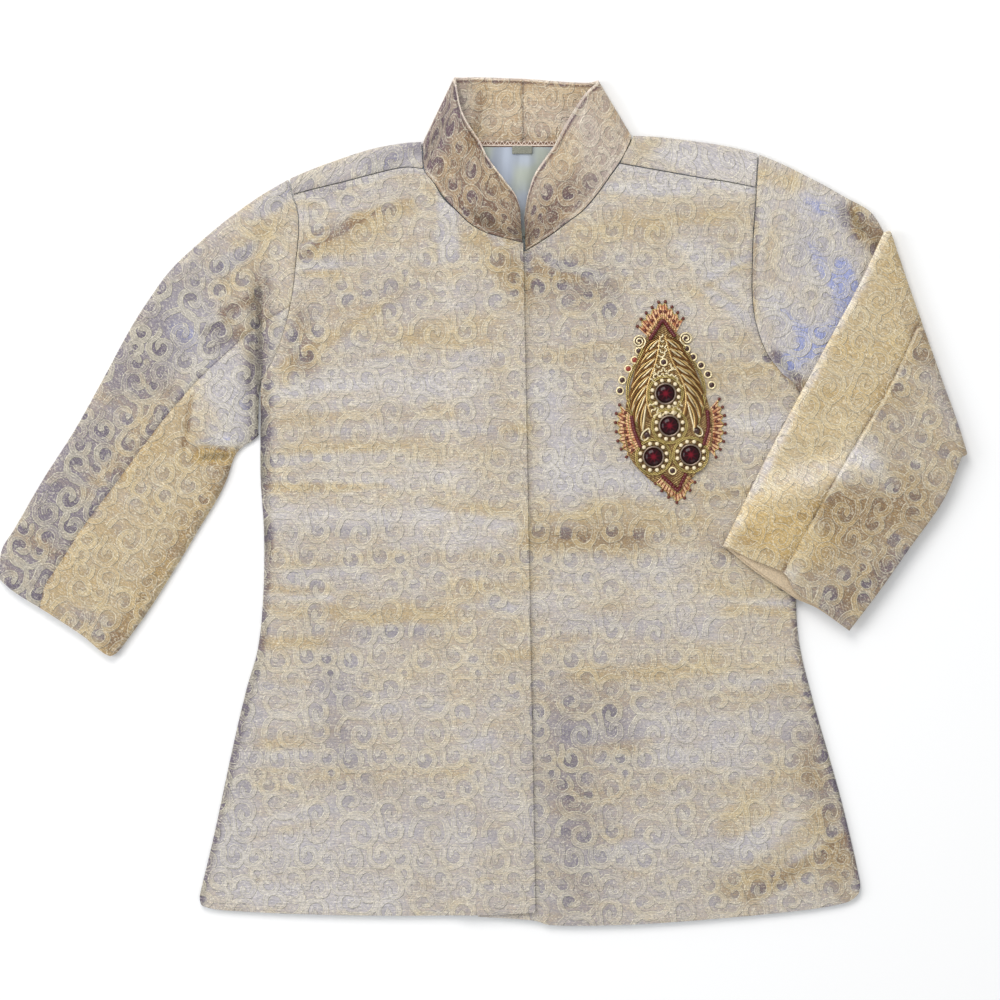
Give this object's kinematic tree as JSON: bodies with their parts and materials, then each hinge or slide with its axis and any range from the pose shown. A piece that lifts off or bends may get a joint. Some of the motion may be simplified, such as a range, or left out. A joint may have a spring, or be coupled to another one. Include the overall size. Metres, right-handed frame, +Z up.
{
  "type": "sherwani coat",
  "caption": "Child's stand-collar sherwani jacket in gold and lilac brocade, laid flat with one sleeve folded over, with a beaded almond motif on the chest.",
  "frame": {"origin": "centre of the rectangle that the jacket covers on the surface it lies on, at the surface's height", "axes": "+Z up from the surface, +Y from the hem to the collar, +X to the wearer's left (the viewer's right, seen from above with the collar up)"},
  "size_m": [0.58, 0.5084, 0.0117],
  "materials": {
    "brocade": "shot silk-blend brocade, gold scrolls on lilac, soft metallic sheen",
    "collar_brocade": "the same brocade, darker, interlined and pressed",
    "lining": "smooth satin lining",
    "piping": "corded piping with zigzag stitching",
    "label": "blank woven tab",
    "facing": "plain cotton facing",
    "zari_gold": "couched gold wire and stamped bezels, worn gloss",
    "garnet": "dark red polished cabochon",
    "pearl": "small round imitation pearl",
    "maroon_bead": "dark red seed and bugle bead",
    "mirror_disc": "small round mirror sequin",
    "peach_thread": "twisted silk thread",
    "stitching": "sewing thread, buttonhole twist"
  },
  "bodies": {
    "root": {"back_panel": "brocade", "bezel_1": "zari_gold", "bezel_2": "zari_gold", "bezel_3": "zari_gold", "bezel_4": "zari_gold", "buta_base": "zari_gold", "collar_left": "collar_brocade", "collar_right": "collar_brocade", "cuff_facing_left": "facing", "front_left": "brocade", "front_right": "brocade", "neck_label": "label", "neck_lining": "lining", "neck_piping": "piping", "sleeve_left_top": "brocade", "sleeve_left_under": "brocade", "sleeve_right_top": "brocade", "sleeve_right_under": "brocade", "stone_1": "garnet", "stone_2": "garnet", "stone_3": "garnet", "stone_4": "garnet"}
  },
  "joints": []
}
